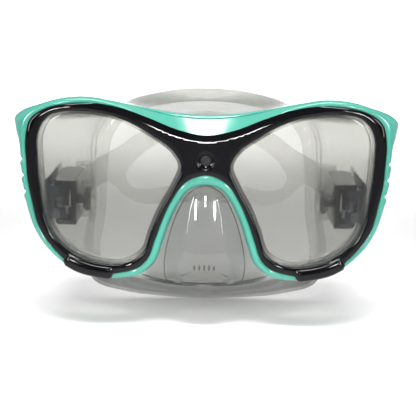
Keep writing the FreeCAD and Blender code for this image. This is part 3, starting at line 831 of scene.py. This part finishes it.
def add_nose(mesh):
    back, tip = -44.6, -56.4
    outside = []
    for i in range(13):
        s = i / 12
        ring = nose_ring(s ** 0.8)
        y = back + (tip + 1.8 - back) * s
        outside.append([(x, y, z) for x, z in ring])
    top = nose_ring(1.0)
    for inset, y in ((0.15, tip + 1.2), (0.5, tip + 0.65), (1.0, tip + 0.35), (1.7, tip + 0.15)):
        outside.append([(x, y, z) for x, z in grown(top, -inset)])
    edge = outside[-1]
    spine = [(0.25 * x, MIDDLE - 7 + (z - MIDDLE + 3) * 0.78) for x, _, z in edge]
    for t in (0.12, 0.25, 0.4, 0.55, 0.7, 0.85, 1.0):
        y = tip + 0.15 * (1 - t)
        outside.append([(x + (sx - x) * t, y, z + (sz - z) * t)
                        for (x, _, z), (sx, sz) in zip(edge, spine)])
    inside_rings = []
    for ring in outside[:17]:
        loop = grown([(x, z) for x, _, z in ring], -1.5)
        inside_rings.append([(x, min(ring[0][1] + 1.5, WEB_BACK), z) for x, z in loop])
    rim = inside_rings[-1]
    for t in (0.25, 0.5, 0.75, 1.0):
        inside_rings.append([(x + (sx - x) * t, tip + 1.5, z + (sz - z) * t)
                             for (x, _, z), (sx, sz) in zip(rim, spine)])
    outer = [mesh.ring(crowned(r, back, tip)) for r in outside]
    inner = [mesh.ring(crowned(r, back, tip)) for r in inside_rings]
    for rings in (outer, inner):
        for a, b in zip(rings, rings[1:]):
            mesh.strip(a, b)
        last = rings[-1]
        half = len(last) // 2
        for i in range(half):
            left, right = (-i) % len(last), (-i - 1) % len(last)
            mesh.faces.append((last[i], last[i + 1], last[right], last[left]))
    mesh.strip(outer[0], inner[0])
    for i in range(RIBS):
        add_rib(mesh, (i - RIBS // 2) * RIB_PITCH, tip)


def add_rib(mesh, x, tip):
    """Short upright grip rib low on the front of the pocket."""
    face = tip + 3.0 * (x / 13) ** 2 + 0.3
    rings = []
    for wide, tall, y in ((0.45, 1.3, face), (0.4, 1.2, face - 0.4), (0.2, 0.9, face - 0.6)):
        rings.append(mesh.ring([(x + wide * math.cos(math.tau * k / 16), y,
                                 MIDDLE - 36 + tall * math.sin(math.tau * k / 16))
                                for k in range(16)]))
    for a, b in zip(rings, rings[1:]):
        mesh.strip(a, b)
    mesh.cap(rings[0])
    mesh.cap(rings[-1])


def add_lug(mesh, sense):
    """Buckle lug on the skirt's side, with a rounded edge and the seat of the post."""
    around = 64
    profile = ((55.4, 11.5), (57.0, 9.8), (58.5, 9.2), (60.8, 9.0), (61.5, 8.7), (61.9, 8.0),
               (62.0, 7.0), (62.0, 2.6), (59.2, 2.6), (59.2, 6.1), (57.6, 6.1), (56.0, 6.1),
               (55.4, 8.0))
    rings = []
    for x, radius in profile:
        rings.append(mesh.ring([(sense * x,
                                 POST[0] + radius * math.cos(math.tau * i / around),
                                 POST[1] + radius * math.sin(math.tau * i / around))
                                for i in range(around)]))
    for a, b in zip(rings, rings[1:] + rings[:1]):
        mesh.strip(a, b)


skirt_shell = make_skirt()
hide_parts("skirt")

# ---------------------------------------------------------------- strap
RISE = math.radians(6.0)  # the strap's slope at rest
# Seen from above, right half: X, and distance behind the posts.
BAND = [(0, 103), (18, 101.6), (36, 95.5), (51, 83), (60, 65), (63.6, 45), (63.8, 32), (63.4, 22),
        (63.4, 18), (64.75, 14.75), (68, 13.4), (71.25, 14.75), (72.6, 18), (71.9, 24), (69.4, 31),
        (67.4, 37), (66.6, 42), (66.4, 48)]
# The split pad at the back, right half: X and height.
PAD = [(0, 29), (14, 27.6), (28, 23.4), (42, 16.4), (51, 10.6), (57.5, 8.2)]
PAD_LOW = [(57.5, -8.4), (54, -13), (49, -20.6), (40, -27), (27, -28.8), (12, -28.4), (0, -28)]
HOLE = [(0, 16), (16, 14.6), (31, 9), (45, -1), (49, -8), (46, -15), (38, -18.4), (20, -17.4),
        (0, -17)]


def swung(x, y, z):
    """From the strap's own axes, about the posts, to the row frame at rest."""
    return (x, POST[0] + y * math.cos(RISE) - z * math.sin(RISE),
            POST[1] + y * math.sin(RISE) + z * math.cos(RISE))


def make_strap():
    half = spline(BAND, 40, closed=False)
    path = [(-x, y) for x, y in reversed(half[1:])] + half
    travel = [0.0]
    for a, b in zip(path, path[1:]):
        travel.append(travel[-1] + math.dist(a, b))
    middle = travel[len(half) - 1]
    travel = [t - middle for t in travel]

    def reach(x):
        """Distance along the strap from its middle to a point of the pad at X."""
        for i, (a, b) in enumerate(zip(half, half[1:])):
            if b[0] >= abs(x):
                base = len(half) - 1 + i
                t = (abs(x) - a[0]) / (b[0] - a[0] or 1)
                value = travel[base] + t * (travel[base + 1] - travel[base])
                return math.copysign(value, x) if x else 0.0
        return travel[-1]

    def place(s, z, off):
        low, high = 0, len(path) - 1
        while high - low > 1:
            mid = (low + high) // 2
            if travel[mid] <= s:
                low = mid
            else:
                high = mid
        t = (s - travel[low]) / (travel[high] - travel[low])
        a, b = path[low], path[high]
        before, after = path[max(low - 1, 0)], path[min(high + 1, len(path) - 1)]
        dx = (b[0] - before[0]) * (1 - t) + (after[0] - a[0]) * t
        dy = (b[1] - before[1]) * (1 - t) + (after[1] - a[1]) * t
        size = math.hypot(dx, dy)
        x = a[0] + (b[0] - a[0]) * t - off * dy / size
        y = a[1] + (b[1] - a[1]) * t + off * dx / size
        return swung(x, y, z)

    end = travel[-1] - 0.2
    upper = [(reach(x), z) for x, z in PAD]
    lower = [(reach(x), z) for x, z in PAD_LOW]
    right = upper + [(s, 8.0) for s in (72, 90, 110, 130)] + [(end - 5, 8.0), (end - 1, 6.4),
                                                             (end, 0.0), (end - 1, -6.4),
                                                             (end - 5, -8.0)]
    right += [(s, -8.0) for s in (130, 110, 90, 74)] + lower
    right = [p for p in right if p[0] <= end]
    outline = right + [(-s, z) for s, z in reversed(right[1:-1])]
    outer = evenly(spline(outline, 16), 900)
    hole_right = [(reach(x), z) for x, z in HOLE]
    hole_points = hole_right + [(-s, z) for s, z in reversed(hole_right[1:-1])]
    hole = evenly(spline(hole_points, 16), 320)
    loops, thick = [], []
    for step, value in ((0.0, 0.3), (0.15, 0.75), (0.4, 1.05), (0.9, 1.1), (1.5, 1.02),
                        (2.0, STRAP_HALF)):
        loops.append(grown(outer, -step))
        thick.extend([value] * len(outer))
    for step, value in ((0.0, 0.3), (0.15, 0.8), (0.4, 1.1), (1.2, 1.1), (2.6, 1.06),
                        (3.4, STRAP_HALF)):
        loops.append(grown(hole, step))
        thick.extend([value] * len(hole))
    first_hole = len(loops) // 2  # as many loops for the outline as for the hole
    verts, faces, starts, total = region(loops, [hole], 2.0, 0.6)
    thick.extend([STRAP_HALF] * (len(verts) - total))
    mesh = Mesh()
    front = mesh.ring([place(v.x, v.y, h) for v, h in zip(verts, thick)])
    rear = mesh.ring([place(v.x, v.y, -h) for v, h in zip(verts, thick)])
    for face in faces:
        mesh.faces.append(tuple(front[i] for i in face))
        mesh.faces.append(tuple(rear[i] for i in reversed(face)))
    for index in (0, first_hole):
        start, size = starts[index], len(loops[index])
        mesh.strip(front[start:start + size], rear[start:start + size])
    return mesh.build("strap_band", STRAP_SILICONE, "strap", sharp=60)


strap_band = make_strap()
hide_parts("strap")


# ---------------------------------------------------------------- stage, light and camera
HALF_WIDTH = 3.0  # stage sizes in metres
BEND = 0.9
BEND_STEPS = 12


def make_stage():
    """Pale floor that curves up into a backdrop."""
    low = cad_bounds[0][2]
    profile = [(-2.5, 0.0), (-0.5, 0.0), (BEND, 0.0)]
    for i in range(1, BEND_STEPS + 1):
        turn = math.radians(90) * i / BEND_STEPS
        profile.append((BEND + BEND * math.sin(turn), BEND - BEND * math.cos(turn)))
    profile.append((2 * BEND, 3.0))
    verts, faces = [], []
    for y, z in profile:
        verts.extend([(-HALF_WIDTH, y, low + z), (HALF_WIDTH, y, low + z)])
    for i in range(len(profile) - 1):
        faces.append((2 * i, 2 * i + 1, 2 * i + 3, 2 * i + 2))
    floor = bpy.data.meshes.new("floor")
    floor.from_pydata(verts, [], faces)
    floor.shade_smooth()
    obj = bpy.data.objects.new("floor", floor)
    bpy.context.scene.collection.objects.link(obj)
    mat, ns, links, shader = material("pale_floor")
    cloud = grain(ns, links, 6)
    tinted(ns, links, cloud, (0.84, 0.84, 0.84), (0.87, 0.87, 0.87), shader.inputs["Base Color"])
    shader.inputs["Roughness"].default_value = 0.9
    shader.inputs["Specular IOR Level"].default_value = 0.1
    floor.materials.append(mat)


def area_light(name, place, target, size, power, height=None, spread=180):
    data = bpy.data.lights.new(name, "AREA")
    data.spread = math.radians(spread)
    data.shape = "RECTANGLE"
    data.size = size
    data.size_y = height or size
    data.energy = power
    obj = bpy.data.objects.new(name, data)
    obj.location = place
    obj.rotation_euler = (Vector(target) - Vector(place)).to_track_quat("-Z", "Y").to_euler()
    bpy.context.scene.collection.objects.link(obj)


make_stage()
area_light("key", (0.0, -0.30, 0.60), (0, -0.04, 0.0), 0.5, 0.68, 0.14, 60)
area_light("fill_left", (-0.50, -0.55, 0.24), (0, -0.03, 0.0), 0.05, 0.26, 0.4, 50)
area_light("fill_right", (0.50, -0.55, 0.24), (0, -0.03, 0.0), 0.05, 0.26, 0.4, 50)
area_light("window_left", (-0.17, -0.50, 0.095), (0, -0.05, 0.0), 0.022, 0.035, 0.06, 50)
area_light("window_middle", (0.0, -0.50, 0.125), (0, -0.05, 0.0), 0.022, 0.035, 0.06, 50)
area_light("window_right", (0.17, -0.50, 0.095), (0, -0.05, 0.0), 0.022, 0.035, 0.06, 50)
area_light("backdrop", (0.0, 0.75, 1.2), (0, 1.35, 0.0), 2.4, 30.0, 0.6, 110)

world = bpy.data.worlds.new("studio")
bpy.context.scene.world = world
world.use_nodes = True
sky = world.node_tree.nodes
wires = world.node_tree.links
way = sky.new("ShaderNodeTexCoord")
parts = sky.new("ShaderNodeSeparateXYZ")
depth = sky.new("ShaderNodeMapRange")
depth.inputs["From Min"].default_value = -0.6
depth.inputs["From Max"].default_value = 0.5
depth.inputs["To Min"].default_value = 0.07
depth.inputs["To Max"].default_value = 1.1
wires.new(way.outputs["Generated"], parts.inputs["Vector"])
wires.new(parts.outputs["Y"], depth.inputs["Value"])
wires.new(depth.outputs["Result"], sky["Background"].inputs["Strength"])
sky["Background"].inputs["Color"].default_value = (1, 1, 1, 1)

camera_data = bpy.data.cameras.new("camera")
camera = bpy.data.objects.new("camera", camera_data)
bpy.context.scene.collection.objects.link(camera)
camera_data.sensor_width = 36
camera_data.lens = 69.2
camera_data.clip_start = 0.01
PITCH = math.radians(9.3)
ROLL = math.radians(0.9)
camera.location = (0.0013, -0.408, (MIDDLE + 49.2) * MM)
turned = Matrix.Rotation(math.radians(90) - PITCH, 3, "X") @ Matrix.Rotation(ROLL, 3, "Z")
camera.rotation_euler = turned.to_euler()
bpy.context.scene.camera = camera
bpy.context.scene.view_settings.view_transform = "Standard"
